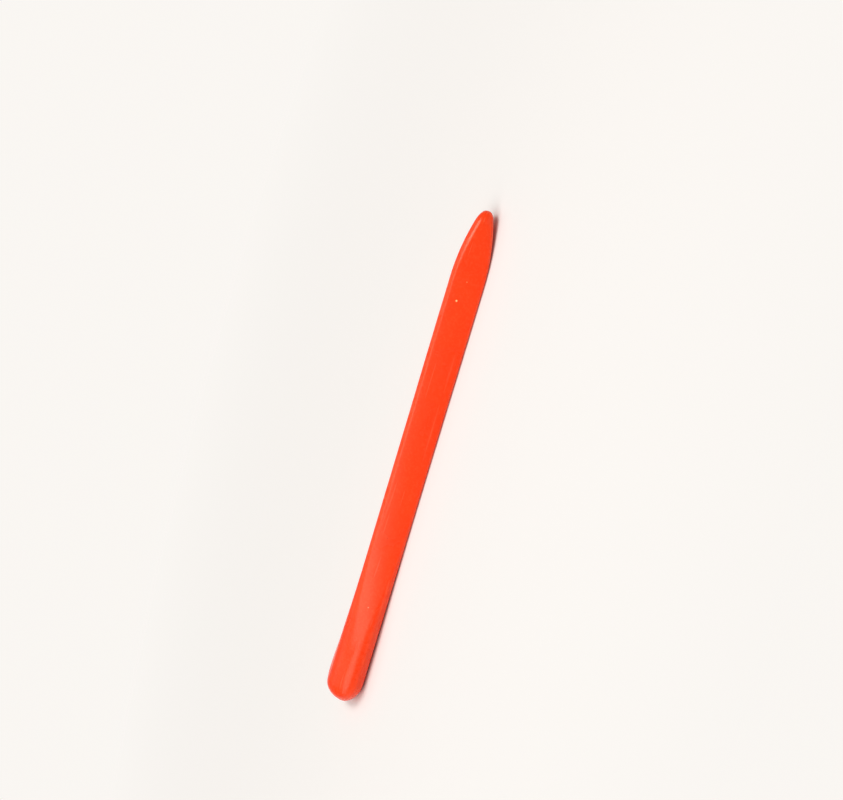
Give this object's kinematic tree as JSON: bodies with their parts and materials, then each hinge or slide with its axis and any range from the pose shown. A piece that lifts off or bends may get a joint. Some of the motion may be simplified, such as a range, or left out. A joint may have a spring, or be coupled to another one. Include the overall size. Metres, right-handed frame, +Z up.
{
  "type": "crayon",
  "caption": "Double-ended crayon: a three-sided moulded stick with a tapered pointed nose at one end and a broad rounded end at the other, resting on a flat face.",
  "frame": {"origin": "on the resting plane, under the middle of the crayon's length and width", "axes": "+X along the crayon from the broad end to the nose, +Z up out of the flat face towards the ridge, +Y across the flat face"},
  "size_m": [0.14, 0.0136, 0.0084],
  "materials": {
    "orange_red_wax": "smooth moulded coloured wax and plastic mix with a soft waxy sheen"
  },
  "bodies": {
    "root": {"crayon_body": "orange_red_wax"}
  },
  "joints": []
}
